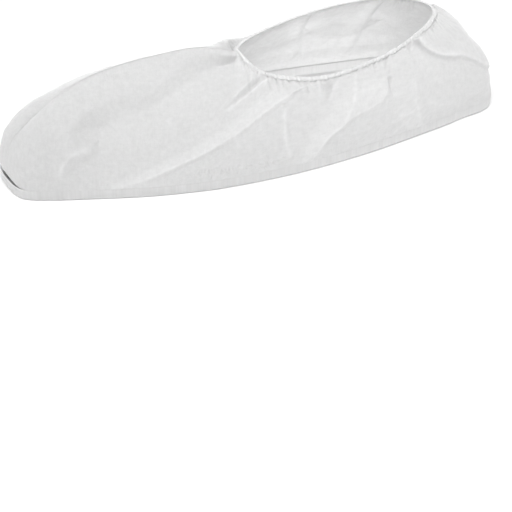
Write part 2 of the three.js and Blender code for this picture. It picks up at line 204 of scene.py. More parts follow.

# Relief along the edges; the ranges in u and up say where it starts, is full, fades and ends
# The ridge beside the front seam also gets a painted highlight along it, besides its height
SEAM_RIDGE = {"height": 1.6, "reach": 4.5, "whiteness_and_painted_light": 0.12, "start": 0.34, "full": 0.44}
TOE_TUCK = {"depth": 2.4, "reach": 2.4, "length": 24.0}
SOLE_PUCKER = {"height": 0.2, "reach": 5.0, "pitch": 6.7, "start": 2.0}
SOLE_FLECKS = {"depth": 0.3, "size": 3.2, "count": 24, "u": (0.36, 0.44, 0.56, 0.62), "up": (1, 4, 8, 14)}
HEM_PUCKER = {"height": 0.4, "reach": 5.0, "pitch": 3.6, "start": 0.02}
PUCKER = {
    "wander": {"height": 0.35, "count": 6, "pitches": 6},
    "strength": {"middle": 0.5, "height": 0.5, "count": 8, "pitches": 9, "most": 1.3},
}

# Unevenness by chance; pairs are the lowest and highest value
WAVE_LENGTHS = (0.7, 1.6)
PANEL_WAVES = [
    {"height": 0.35, "count": 14, "length": 34.0},
    {"height": 0.08, "count": 20, "length": 12.0},
]
# shade scales the painted shade along each pleat's crease by the pleat's depth
PLEATS = {
    "count": 44, "start": 0.515, "span": 0.475, "place": (0.1, 0.9), "least_drop": 0.05, "more_drop": 0.28,
    "slant": 0.006, "width": (1.3, 2.8), "heel_side": 0.8, "depth": (0.2, 1.1), "shade": 1.5,
}
CREASES = {
    "count": 34, "u": (0.05, 0.97), "v": (0.08, 0.92), "run_u": 0.025, "run_v": 0.16, "bend": 0.006,
    "rise": (0.08, 0.25), "toe_side": (3, 8), "heel_side": (1.6, 3.5),
}
SEEDS = {1: 100, -1: 200}
SEED_STEPS = {"waves": 0, "sole_pucker": 2, "flecks": 3, "hem_pucker": 4, "pleats": 5, "creases": 11}

# Mesh of a panel: END_ROWS crowds its rows towards the edges. The normals are level at the foot, which
# ends at UPRIGHT_FOOT, and are taken no higher than HIGHEST_NORMAL.
PANEL_COLUMNS = 540
PANEL_ROWS = 90
END_ROWS = 0.25
SLOPE_STEP = 0.004
HIGHEST_NORMAL = 0.94
UPRIGHT_FOOT = 0.12


def smoothstep(x, low, high):
    t = np.clip((x - low) / (high - low), 0.0, 1.0)
    return t * t * (3.0 - 2.0 * t)


def between(x, start, full, fade, end):
    """1 from full to fade, falling softly to 0 at start and end."""
    return smoothstep(x, start, full) * smoothstep(end - x, 0, end - fade)


def through(table, column, u):
    """Smooth curve through a table's column, with slopes taken from the neighbouring rows."""
    at, values = table["u"], table[column]
    step = np.diff(at)
    rise = np.diff(values) / step
    inner = (step[:-1] * rise[1:] + step[1:] * rise[:-1]) / (step[:-1] + step[1:])
    slope = np.concatenate([rise[:1], inner, rise[-1:]])
    i = np.clip(np.searchsorted(at, u, side="right") - 1, 0, len(at) - 2)
    t = (u - at[i]) / step[i]
    start = (1 + 2 * t) * (1 - t) ** 2 * values[i]
    end = (3 - 2 * t) * t**2 * values[i + 1]
    leave = t * (1 - t) ** 2 * step[i] * slope[i]
    arrive = t**2 * (t - 1) * step[i] * slope[i + 1]
    return start + leave + end + arrive


def with_mirror(table, ends):
    """Rows of a curve that crosses the centre line square, led over it by their mirror image."""
    rows = [dict(zip(table, values)) for values in zip(*table.values())]
    for end in ends:
        last, beside = (rows[0], rows[1]) if end == "front" else (rows[-1], rows[-2])
        lead = {**beside, "u": 2 * last["u"] - beside["u"], "half_width": -beside["half_width"]}
        rows = [lead] + rows if end == "front" else rows + [lead]
    return {name: np.array([row[name] for row in rows]) for name in table}


OUTLINE = with_mirror(SOLE_SEAM, ("front", "back"))
HEM_CURVE = with_mirror(HEM_LINE, ("back",))


def seam_point(u):
    u = np.asarray(u, float)
    level = 0 * u + SEAM_HEIGHT
    return np.stack([through(OUTLINE, "half_width", u), through(OUTLINE, "from_toe", u), level], -1)


def hem_turn(u):
    """Share of the way round the hem, from its front up the left side, that a rib reaches."""
    return (u - OPENING_U) / (1 - OPENING_U) / 2


def hem_rib(turn):
    """The rib that reaches a place round the hem, on whichever side."""
    return OPENING_U + (1 - OPENING_U) * (1 - np.abs(1 - 2 * turn))


def hem_point(turn):
    loop = np.mod(np.asarray(turn, float), 1.0)
    side = np.where(loop > 0.5, -1.0, 1.0)
    u = hem_rib(loop)
    x = side * through(HEM_CURVE, "half_width", u)
    return np.stack([x, through(HEM_CURVE, "from_toe", u), through(HEM_CURVE, "height", u)], -1)


def outward(outline, t):
    """Level direction out of an outline that is followed from the toe up the left side."""
    along = outline(t + SLOPE_STEP) - outline(t - SLOPE_STEP)
    out = np.stack([along[..., 1], -along[..., 0], 0 * along[..., 0]], -1)
    return out / np.linalg.norm(out, axis=-1, keepdims=True)


def rib_head(u):
    front = np.stack([0 * u, through(FRONT_SEAM, "from_toe", u), through(FRONT_SEAM, "height", u)], -1)
    turn = hem_turn(np.maximum(u, OPENING_U))
    hem = hem_point(turn) + outward(hem_point, turn) * HEM["seat"]
    return np.where((u <= OPENING_U)[..., None], front, hem)


def rib_length(u):
    span = rib_head(u) - seam_point(u)
    return np.pi / 2 * np.sqrt((span**2).sum(-1) / 2)


def smooth_point(u, v):
    """Point of the panel before it is folded."""
    foot, head = seam_point(u), rib_head(u)
    turn = through(OUTLINE, "round", u)
    belly = through(OUTLINE, "belly", u) * np.sin(np.pi * v)
    inward = v + ((1 - np.cos(v * np.pi / 2)) - v) * turn
    upward = v + (np.sin(v * np.pi / 2) - v) * turn
    point = foot + (head - foot) * inward[..., None]
    point[..., 2] = foot[..., 2] + SEAM_GAP / 2 + (head[..., 2] - foot[..., 2]) * upward
    return point + outward(seam_point, u) * belly[..., None]


def wall_normal(u, v):
    """Direction through the cloth, level at the sole seam where the panel stands on the sole's rim."""
    high = np.minimum(v, HIGHEST_NORMAL)
    ahead, behind = np.minimum(u + SLOPE_STEP, 1), np.maximum(u - SLOPE_STEP, 0)
    along = smooth_point(ahead, high) - smooth_point(behind, high)
    up = smooth_point(u, high + SLOPE_STEP) - smooth_point(u, np.maximum(high - SLOPE_STEP, 0))
    normal = np.cross(along, up)
    normal /= np.linalg.norm(normal, axis=-1, keepdims=True)
    normal[..., 2] *= smoothstep(v, 0, UPRIGHT_FOOT)
    return normal / np.linalg.norm(normal, axis=-1, keepdims=True)


def flat_point(u, v):
    u, v = np.asarray(u, float), np.asarray(v, float)
    return np.stack([u * PANEL_LENGTH, v * rib_length(u)], -1)


def fold_line(points):
    """Smooth line through a fold's points on the flat panel."""
    u, v = np.array(points, float).T
    knots = flat_point(u, v)
    travel = np.concatenate([[0], np.cumsum(np.linalg.norm(np.diff(knots, axis=0), axis=1))])
    table = {"u": travel, "along": knots[:, 0], "up": knots[:, 1]}
    at = np.linspace(0, travel[-1], FOLD_STEPS + 1)
    return np.stack([through(table, "along", at), through(table, "up", at)], -1)


def add_fold(relief, layers, flat, fold):
    """Adds one fold's height, its lap and its painted highlight or shade along the edge over the flat panel,
    from the nearest piece of its line.
    """
    line = fold_line(fold.line)
    widest = max(fold.toe_side, fold.heel_side, abs(fold.lap))
    reach = ((flat > line.min(0) - widest) & (flat < line.max(0) + widest)).all(-1)
    points = flat[reach]
    nearest = np.full(len(points), np.inf)
    share = np.zeros(len(points))
    heelward = np.zeros(len(points), bool)
    for i in range(FOLD_STEPS):
        along, away = line[i + 1] - line[i], points - line[i]
        k = np.clip(away @ along / (along @ along), 0, 1)
        distance = np.linalg.norm(away - k[:, None] * along, axis=1)
        closer = distance < nearest
        nearest = np.where(closer, distance, nearest)
        share = np.where(closer, (i + k) / FOLD_STEPS, share)
        heelward = np.where(closer, along[0] * away[:, 1] - along[1] * away[:, 0] > 0, heelward)
    width = np.where(heelward, fold.heel_side, fold.toe_side)
    crest = fold.rise + (fold.end_rise - fold.rise) * share + 4 * fold.swell * share * (1 - share)
    relief[reach] += crest * smoothstep(1 - nearest / width, 0, 1)
    begun = smoothstep(share, 0, fold.fade)
    whole = begun * (1 - smoothstep(share, EDGE["fade"], 1))
    # Painted highlight along the folded edge, or painted shade where edge is below zero
    layers[reach] += whole * fold.edge * np.exp(-((nearest / EDGE["width"]) ** 2))
    if fold.lap:
        doubled = heelward == (fold.lap < 0)
        lap = abs(fold.lap) * (1 - LAP["taper"] * share)
        layers[reach] += LAP["layers"] * begun * doubled * (1 - smoothstep(nearest / lap, LAP["soft"], 1))


def fold_cloth(folds, flat):
    """Height of the folded cloth over the flat panel, and how much of it lies double, with the painted
    highlights and shade along the fold edges added in.
    """
    relief, layers = np.zeros(flat.shape[:-1]), np.zeros(flat.shape[:-1])
    for fold in folds:
        add_fold(relief, layers, flat, fold)
    return relief, layers


def hem_pleats(seed):
    """Short pleats of uneven size that the elastic draws in along one side of the hem, each with painted
    shade along its crease.
    """
    random = np.random.default_rng(seed + SEED_STEPS["pleats"])
    folds = []
    for i in range(PLEATS["count"]):
        u = PLEATS["start"] + PLEATS["span"] * (i + random.uniform(*PLEATS["place"])) / PLEATS["count"]
        drop = PLEATS["least_drop"] + PLEATS["more_drop"] * random.uniform(0, 1) ** 2
        slant = random.normal(0, PLEATS["slant"])
        width = random.uniform(*PLEATS["width"])
        line = [(u, 1.0), (u + slant / 2, 1 - drop / 2), (u + slant, 1 - drop)]
        depth = random.uniform(*PLEATS["depth"])
        heel_side = width * PLEATS["heel_side"]
        # Each pleat's crease gets painted shade, darker for a deeper pleat
        folds.append(Fold(line, -depth, 0.0, width, heel_side, edge=-PLEATS["shade"] * depth))
    return folds


def chance_creases(seed):
    """Faint creases that handling leaves all over the cloth."""
    random = np.random.default_rng(seed + SEED_STEPS["creases"])
    folds = []
    for _ in range(CREASES["count"]):
        u, v = random.uniform(*CREASES["u"]), random.uniform(*CREASES["v"])
        du, dv = random.normal(0, CREASES["run_u"]), random.normal(0, CREASES["run_v"])
        bend = random.normal(0, CREASES["bend"])
        rise = random.choice([-1, 1]) * random.uniform(*CREASES["rise"])
        line = [(u, v), (u + du / 2 + bend, v + dv / 2), (u + du, v + dv)]
        toe_side, heel_side = random.uniform(*CREASES["toe_side"]), random.uniform(*CREASES["heel_side"])
        folds.append(Fold(line, rise, 0.0, toe_side, heel_side))
    return folds


def slow_waves(flat, seed, count, wavelength):
    """Soft unevenness of the cloth as a sum of level waves that run in all directions."""
    random = np.random.default_rng(seed)
    total = np.zeros(flat.shape[:-1])
    for _ in range(count):
        heading, phase = random.uniform(0, np.pi), random.uniform(0, 2 * np.pi)
        length = wavelength * random.uniform(*WAVE_LENGTHS)
        total += np.sin(2 * np.pi / length * (flat @ [np.cos(heading), np.sin(heading)]) + phase)
    return total / np.sqrt(count / 2)


def unevenness(flat, seed, waves):
    """Waves of several lengths added up."""
    return sum(
        row["height"] * slow_waves(flat, seed + i, row["count"], row["length"]) for i, row in enumerate(waves)
    )


def pucker(flat, seed, pitch):
    """Uneven waves along a seam, strong in some places and gone in others."""
    level = flat * [1, 0]
    aside, tension = PUCKER["wander"], PUCKER["strength"]
    wander = aside["height"] * pitch * slow_waves(level, seed, aside["count"], aside["pitches"] * pitch)
    strength = tension["height"] * slow_waves(level, seed + 1, tension["count"], tension["pitches"] * pitch)
    strength = np.clip(tension["middle"] + strength, 0, tension["most"])
    return strength * np.cos(2 * np.pi * (flat[..., 0] + wander) / pitch)


def seam_distance(u, v):
    """Way over the flat panel to the nearest centre seam, at the toe, the heel or the front."""
    along, up = np.moveaxis(flat_point(u, v), -1, 0)
    past_peak = np.maximum(along - OPENING_U * PANEL_LENGTH, 0)
    front = np.hypot(rib_length(u) - up, past_peak)
    return np.minimum(front, np.minimum(along, PANEL_LENGTH - along))


def edge_relief(u, flat, below, pleat_hold, seed):
    """What the toe, the sole seam and the hem add to a panel's relief."""
    along, up = flat[..., 0], flat[..., 1]
    tuck = np.exp(-((along / TOE_TUCK["length"]) ** 2)) * np.exp(-up / TOE_TUCK["reach"])
    at_sole = smoothstep(up, 0, SOLE_PUCKER["start"]) * np.exp(-up / SOLE_PUCKER["reach"])
    puckered = at_sole * pucker(flat, seed + SEED_STEPS["sole_pucker"], SOLE_PUCKER["pitch"])
    flecks = slow_waves(flat, seed + SEED_STEPS["flecks"], SOLE_FLECKS["count"], SOLE_FLECKS["size"])
    flecked = between(u, *SOLE_FLECKS["u"]) * between(up, *SOLE_FLECKS["up"]) * np.maximum(flecks, 0)
    at_hem = smoothstep(u, OPENING_U, OPENING_U + HEM_PUCKER["start"]) * np.exp(-below / HEM_PUCKER["reach"])
    gathered = pleat_hold * at_hem * pucker(flat, seed + SEED_STEPS["hem_pucker"], HEM_PUCKER["pitch"])
    raised = SOLE_PUCKER["height"] * puckered + HEM_PUCKER["height"] * gathered
    return raised - TOE_TUCK["depth"] * tuck - SOLE_FLECKS["depth"] * flecked


def panel_cloth(u, v, folds, side, seed):
    """How far a panel's cloth stands off its smooth form, its layers, and its tone: whiter where it lies
    double, with painted highlights and shade along the fold edges and hem pleats and a painted highlight on
    the seam ridge.
    """
    flat = flat_point(u, v)
    up = flat[..., 1]
    below = rib_length(u) - up
    from_seam = seam_distance(u, v)
    seam_hold = smoothstep(from_seam, 0, EDGE_HOLD["seam"]) * smoothstep(up, 0, EDGE_HOLD["sole"])
    hem_hold = smoothstep(below, 0, EDGE_HOLD["hem"])
    pleat_hold = smoothstep(below, 0, EDGE_HOLD["pleat"])
    at_peak = smoothstep(u, SEAM_RIDGE["start"], SEAM_RIDGE["full"])
    ridge = at_peak * np.exp(-from_seam / SEAM_RIDGE["reach"])
    folded, layers = fold_cloth(folds + chance_creases(seed), flat)
    pleated, painted_pleat_shade = fold_cloth(hem_pleats(seed), flat)
    # Tone: whiter where the cloth lies double, with painted highlights and shade along fold edges, painted
    # shade in the hem pleats and a painted highlight on the seam ridge
    whiteness_and_painted_light = LAP["whiteness_and_painted_light"] * (layers + painted_pleat_shade) + SEAM_RIDGE["whiteness_and_painted_light"] * ridge
    relief = seam_hold * (hem_hold * folded + pleat_hold * pleated)
    relief += seam_hold * unevenness(flat, seed + SEED_STEPS["waves"], PANEL_WAVES)
    relief += SEAM_RIDGE["height"] * ridge + edge_relief(u, flat, below, pleat_hold, seed)
    allowance = 1 - smoothstep(up, SEAM_ALLOWANCE["full"], SEAM_ALLOWANCE["end"])
    centre_cover = CENTRE_COVER["plain"] + (CENTRE_COVER["peak"] - CENTRE_COVER["plain"]) * at_peak
    at_centre = centre_cover * np.exp(-((from_seam / SEAM_LAP) ** 2))
    at_sole = SOLE_COVER[side] * np.exp(-((up / SEAM_LAP) ** 2))
    layers += SEAM_ALLOWANCE["layers"][side] * allowance + np.maximum(at_centre, at_sole)
    return relief, layers, whiteness_and_painted_light


def placed(points, side):
    """Points of a panel in metres in the object's frame, on the side asked for."""
    x = side * np.maximum(points[..., 0], SEAM_GAP / 2)
    return np.stack([x, points[..., 1] - LENGTH / 2, points[..., 2]], -1) * MM


def grid_faces(ribs, rows, offset, flip):
    """Quads of a grid of points that are numbered up one rib after the other, from offset on."""
    i, j = np.meshgrid(np.arange(ribs - 1), np.arange(rows - 1), indexing="ij")
    a = (offset + i * rows + j).ravel()
    quads = np.stack([a, a + rows, a + rows + 1, a + 1], -1)
    return quads[:, ::-1] if flip else quads


def rim_faces(ribs, rows, flip):
    """Quads that join the borders of two like grids, the second numbered after the first."""
    index = np.arange(ribs * rows).reshape(ribs, rows)
    ring = np.concatenate([index[:-1, 0], index[-1, :-1], index[:0:-1, -1], index[0, :0:-1]])
    after = np.roll(ring, -1)
    layer = ribs * rows
    quads = np.stack([after, ring, ring + layer, after + layer], -1)
    return quads[:, ::-1] if flip else quads


def border_numbers(ribs, rows):
    """1 at the border of the first of two like grids, 2 at the second's and 0 inside both."""
    edge = np.ones((ribs, rows), int)
    edge[1:-1, 1:-1] = 0
    return np.concatenate([edge.ravel(), 2 * edge.ravel()])


def crease_borders(mesh, border):
    """Keeps the shading apart along edges whose two ends both carry the same border number."""
    ends = np.empty(2 * len(mesh.edges), np.int32)
    mesh.edges.foreach_get("vertices", ends)
    first, second = border[ends.reshape(-1, 2)].T
    sharp = mesh.attributes.new("sharp_edge", "BOOLEAN", "EDGE")
    sharp.data.foreach_set("value", (first > 0) & (first == second))


def new_object(name, points, faces, uv, border=None):
    mesh = bpy.data.meshes.new(name)
    mesh.from_pydata(points.tolist(), [], faces.tolist())
    if border is not None:
        crease_borders(mesh, border)
    layer = mesh.uv_layers.new(name="cloth")
    corners = np.empty(len(mesh.loops), np.int32)
    mesh.loops.foreach_get("vertex_index", corners)
    layer.data.foreach_set("uv", uv[corners].astype(np.float32).ravel())
    mesh.polygons.foreach_set("use_smooth", np.ones(len(mesh.polygons), bool))
    mesh.update()
    obj = bpy.data.objects.new(name, mesh)
    bpy.context.scene.collection.objects.link(obj)
    return obj


def wall_mesh(name, outer, inner, flat, flip):
    """Closed wall between two like grids of points in metres; flip turns its faces round."""
    ribs, rows = outer.shape[:2]
    points = np.concatenate([outer.reshape(-1, 3), inner.reshape(-1, 3)])
    faces = np.concatenate([
        grid_faces(ribs, rows, 0, flip),
        grid_faces(ribs, rows, ribs * rows, not flip),
        rim_faces(ribs, rows, flip),
    ])
    uv = np.tile(flat.reshape(-1, 2) * MM, (2, 1))
    return new_object(name, points, faces, uv, border_numbers(ribs, rows))


def set_points(obj, name, values):
    """Stores a value at each point of a piece's outer and inner face, for its material."""
    stored = obj.data.attributes.new(name, "FLOAT", "POINT")
    stored.data.foreach_set("value", np.tile(values.ravel(), 2).astype(np.float32))


def side_panel(name, side, folds, seed):
    """Closed thin wall of one side panel, with its folds, gathers and seams."""
    rows = np.linspace(0, 1, PANEL_ROWS)
    rows -= END_ROWS * np.sin(2 * np.pi * rows) / (2 * np.pi)
    u, v = np.meshgrid(np.linspace(0, 1, PANEL_COLUMNS), rows, indexing="ij")
    normal = wall_normal(u, v)
    relief, layers, whiteness_and_painted_light = panel_cloth(u, v, folds, side, seed)
    stand_off = normal * relief[..., None]
    stand_off[..., 0] *= smoothstep(seam_distance(u, v), 0, SEAM_CLOSE)
    outer = smooth_point(u, v) + stand_off
    inner = outer - normal * WALL
    obj = wall_mesh(name, placed(outer, side), placed(inner, side), flat_point(u, v), side < 0)
    set_points(obj, "layers", layers)
    set_points(obj, "whiteness_and_painted_light", whiteness_and_painted_light)
    return obj


# The sole stops just short of the points of the toe and the heel, where its two sides would meet
SOLE_COLUMNS = 300
SOLE_END = 1e-4
SOLE_ROWS = {"turn": 13, "flat": 36}
SOLE_SQUARE = 0.32
SOLE_LIFT = {"base": 0.4, "fade": 8.0}
SOLE_WAVES = [
    {"height": 0.35, "count": 16, "length": 30.0},
    {"height": 0.12, "count": 20, "length": 9.0},
]
SOLE_SEED = 31

# Layers of its cloth: the flat lies on the floor, and the rim differs on the left side (1) and the right (-1)
SOLE_BACKING = {"layers": 2.4, "fade": 2.0}
# The rim is toned a little darker on each side, as painted shade
RIM_PAINTED_SHADE = {1: -0.02, -1: -0.03}
RIM_COVER = {1: 0.0, -1: 0.5}
SOLE_EDGE = {1: 0.8, -1: 0.2}


def sole_section(u):
    """Points across the sole at each u, from the left seam round the flat to the right, and their normals.

    The rim turns into the flat along a squared-off ellipse.
    """
    foot, out = seam_point(u), outward(seam_point, u)
    turn = np.linspace(np.pi / 2, 0, SOLE_ROWS["turn"])
    rise = SEAM_HEIGHT - SEAM_GAP / 2
    left, left_normal = [], []
    for a in turn:
        point = foot - out * SOLE_TURN * (1 - np.sin(a) ** SOLE_SQUARE)
        point[:, 2] = rise * (1 - np.cos(a) ** SOLE_SQUARE)
        left.append(point)
        left_normal.append(out * np.sin(a) - np.array([0, 0, np.cos(a)]))
    mirror = np.array([-1.0, 1.0, 1.0])
    right = [p * mirror for p in left[::-1]]
    right_normal = [n * mirror for n in left_normal[::-1]]
    flat, flat_normal = [], []
    for share in np.linspace(0, 1, SOLE_ROWS["flat"] + 1)[1:-1]:
        flat.append(left[-1] * (1 - share) + right[0] * share)
        flat_normal.append(np.tile([0.0, 0.0, -1.0], (len(u), 1)))
    return np.stack(left + flat + right, 1), np.stack(left_normal + flat_normal + right_normal, 1)


def sole_panel(name):
    """Closed thin wall of the sole, which lies on the floor in low ripples."""
    spread = (1 - np.cos(np.pi * np.linspace(0, 1, SOLE_COLUMNS))) / 2
    outer, normal = sole_section(SOLE_END + (1 - 2 * SOLE_END) * spread)
    plan = outer[..., :2]
    ripple = unevenness(plan, SOLE_SEED, SOLE_WAVES)
    rim = np.abs(outer[:, SOLE_ROWS["turn"] - 1 : SOLE_ROWS["turn"], 0])
    from_rim = rim - np.abs(outer[..., 0])
    lying = smoothstep(from_rim, 0, SOLE_LIFT["fade"])
    backed = smoothstep(from_rim, 0, SOLE_BACKING["fade"])
    outer[..., 2] += lying * np.maximum(ripple + SOLE_LIFT["base"], 0)
    inner = outer - normal * WALL
    shift = np.array([0, -LENGTH / 2, 0])
    obj = wall_mesh(name, (outer + shift) * MM, (inner + shift) * MM, plan, True)

    def by_side(values):
        return np.where(outer[..., 0] > 0, values[1], values[-1])

    layers = by_side(SOLE_COVER) * np.exp(-(((SEAM_HEIGHT - outer[..., 2]) / SEAM_LAP) ** 2))
    layers += by_side(SOLE_EDGE) * np.exp(-((outer[..., 2] / SEAM_LAP) ** 2))
    layers += by_side(RIM_COVER) * (1 - backed) + SOLE_BACKING["layers"] * backed
    set_points(obj, "layers", layers)
    # The rim's tone is painted shade; the backed flat keeps the cloth's own grey
    set_points(obj, "whiteness_and_painted_light", by_side(RIM_PAINTED_SHADE) * (1 - backed))
    return obj


# The hem is drawn in by HEM_PLEAT of each pleat's depth and by gathers of its own, less so at its edges
HEM_SEGMENTS = 1500
HEM_SIDES = 20
HEM_RADIUS = 62.0
HEM_PLEAT = 0.35
HEM_EDGE = 0.2
HEM_TWIST = 0.8
HEM_UPRIGHT = 0.04
HEM_GATHERS = columns("count height phase", [
    (59, 0.06, 0.3),
    (97, 0.10, 1.1),
    (139, 0.14, 2.6),
    (197, 0.11, 4.0),
])


def hem_notches(turn):
    """How far the pleats of the two panels draw the hem in, at each place round it."""
    u = hem_rib(turn)
    notches = np.zeros_like(turn)
    for side, seed in SEEDS.items():
        here = (turn > 0.5) == (side < 0)
        for pleat in hem_pleats(seed):
            beside = (u - pleat.line[0][0]) * PANEL_LENGTH / pleat.toe_side
            notches += here * pleat.rise * np.exp(-(beside**2))
    return notches


def hem_slope(turn):
    """Direction up the cloth at each place round the hem, upright at the peak where the two sides meet."""
    u = hem_rib(turn)
    slope = smooth_point(u, 0 * u + 1) - smooth_point(u, 0 * u + HIGHEST_NORMAL)
    slope[:, 0] *= np.where(turn > 0.5, -1, 1)
    slope /= np.linalg.norm(slope, axis=1, keepdims=True)
    lean = smoothstep(np.minimum(turn, 1 - turn), 0, HEM_UPRIGHT)[:, None]
    slope = lean * slope + (1 - lean) * [0, 0, 1]
    return slope / np.linalg.norm(slope, axis=1, keepdims=True)


def ankle_hem(name):
    """Flat closed band of cloth over elastic, drawn into fine uneven pleats that are lower at its edges."""
    turn = np.arange(HEM_SEGMENTS) / HEM_SEGMENTS
    around = 2 * np.pi * np.arange(HEM_SIDES) / HEM_SIDES
    a, b = np.meshgrid(2 * np.pi * turn, around, indexing="ij")
    gathered = np.zeros_like(a)
    for count, height, phase in zip(HEM_GATHERS["count"], HEM_GATHERS["height"], HEM_GATHERS["phase"]):
        gathered += height * np.cos(count * a + phase + HEM_TWIST * np.sin(b + phase))
    gathered += HEM_PLEAT * hem_notches(turn)[:, None]
    up = hem_slope(turn)
    along = hem_point(turn + SLOPE_STEP) - hem_point(turn - SLOPE_STEP)
    out = np.cross(along, up)
    out /= np.linalg.norm(out, axis=1, keepdims=True)
    through_band = HEM["thickness"] * (1 + gathered) * np.cos(b)
    up_band = HEM["height"] * (1 + HEM_EDGE * gathered) * np.sin(b)
    points = hem_point(turn)[:, None] + out[:, None] * through_band[..., None]
    points += up[:, None] * up_band[..., None]
    points[..., 1] -= LENGTH / 2
    index = np.arange(HEM_SEGMENTS * HEM_SIDES).reshape(HEM_SEGMENTS, HEM_SIDES)
    ahead = np.roll(index, -1, 0)
    faces = np.stack([index, ahead, np.roll(ahead, -1, 1), np.roll(index, -1, 1)], -1).reshape(-1, 4)
    uv = np.stack([a * HEM_RADIUS, b * HEM["height"]], -1).reshape(-1, 2) * MM
    return new_object(name, points.reshape(-1, 3) * MM, faces, uv)


# Looks of the cloth: scales count over a metre of flat cloth, and lengths are in millimetres
NOISE_ROUGHNESS = 0.6
CLOUDS = {"scale": 260.0, "detail": 5.0}
FIBRES = {"scale": 420.0, "detail": 3.0, "stretch": (0.45, 1.7, 1), "turn": 0.9}
CROSSING = {"scale": 420.0, "detail": 3.0, "stretch": (1.7, 0.45, 1), "turn": 0.4}
BONDS = {"scale": 640.0, "randomness": 0.5, "edge": 0.4, "full": 0.2, "density": 0.05, "depth": 0.8}
DENSITY = {"clouds": 0.6, "fibres": 0.2, "thin": 0.36, "thick": 0.64}
BUMP = {"strength": 0.3, "distance": 0.15}
ROUGHNESS = {"least": 0.68, "clouds": 0.2}
GLOSS = {"Specular IOR Level": 0.3, "Sheen Weight": 0.12, "Sheen Roughness": 0.5}
LAP_COVER = 0.42

# Grey of each cloth where it is thin and thick, and how deep light goes into it; the hem's greys are set a
# little below the panels' as painted shade, to hold down the light its top catches
CLOTHS = {
    "nonwoven_cloth": {"thin": 0.675, "thick": 0.75, "depth": 4.5},
    "sole_cloth": {"thin": 0.69, "thick": 0.765, "depth": 4.6},
    "gathered_hem": {"thin": 0.66, "thick": 0.73, "depth": 4.5},
}


def shader(name):
    material = bpy.data.materials.new(name)
    material.use_nodes = True
    nodes = material.node_tree.nodes
    nodes.clear()
    output = nodes.new("ShaderNodeOutputMaterial")
    surface = nodes.new("ShaderNodeBsdfPrincipled")
    material.node_tree.links.new(surface.outputs["BSDF"], output.inputs["Surface"])
    return material, surface


def link(material, source, target):
    material.node_tree.links.new(source, target)


def math_node(material, operation, *values):
    node = material.node_tree.nodes.new("ShaderNodeMath")
    node.operation = operation
    for socket, value in zip(node.inputs, values):
        if isinstance(value, (int, float)):
            socket.default_value = value
        else:
            link(material, value, socket)
    return node.outputs[0]


def cloth_noise(material, vector, scale, detail, stretch=(1, 1, 1), turn=0.0):
    nodes = material.node_tree.nodes
    mapping = nodes.new("ShaderNodeMapping")
    mapping.inputs["Scale"].default_value = stretch
    mapping.inputs["Rotation"].default_value = (0, 0, turn)
    link(material, vector, mapping.inputs["Vector"])
    noise = nodes.new("ShaderNodeTexNoise")
    noise.inputs["Scale"].default_value = scale
    noise.inputs["Detail"].default_value = detail
    noise.inputs["Roughness"].default_value = NOISE_ROUGHNESS
    link(material, mapping.outputs["Vector"], noise.inputs["Vector"])
    return noise.outputs["Fac"]


def stored_value(material, name):
    """A value that the mesh carries at its points."""
    attribute = material.node_tree.nodes.new("ShaderNodeAttribute")
    attribute.attribute_name = name
    return attribute.outputs["Fac"]


def bond_dots(material, vector):
    """1 inside the small dots where the fibres are bonded, 0 between them."""
    nodes = material.node_tree.nodes
    bonds = nodes.new("ShaderNodeTexVoronoi")
    bonds.inputs["Scale"].default_value = BONDS["scale"]
    bonds.inputs["Randomness"].default_value = BONDS["randomness"]
    link(material, vector, bonds.inputs["Vector"])
    bonded = nodes.new("ShaderNodeMapRange")
    bonded.interpolation_type = "SMOOTHSTEP"
    bonded.inputs["From Min"].default_value = BONDS["edge"]
    bonded.inputs["From Max"].default_value = BONDS["full"]
    link(material, bonds.outputs["Distance"], bonded.inputs["Value"])
    return bonded.outputs["Result"]


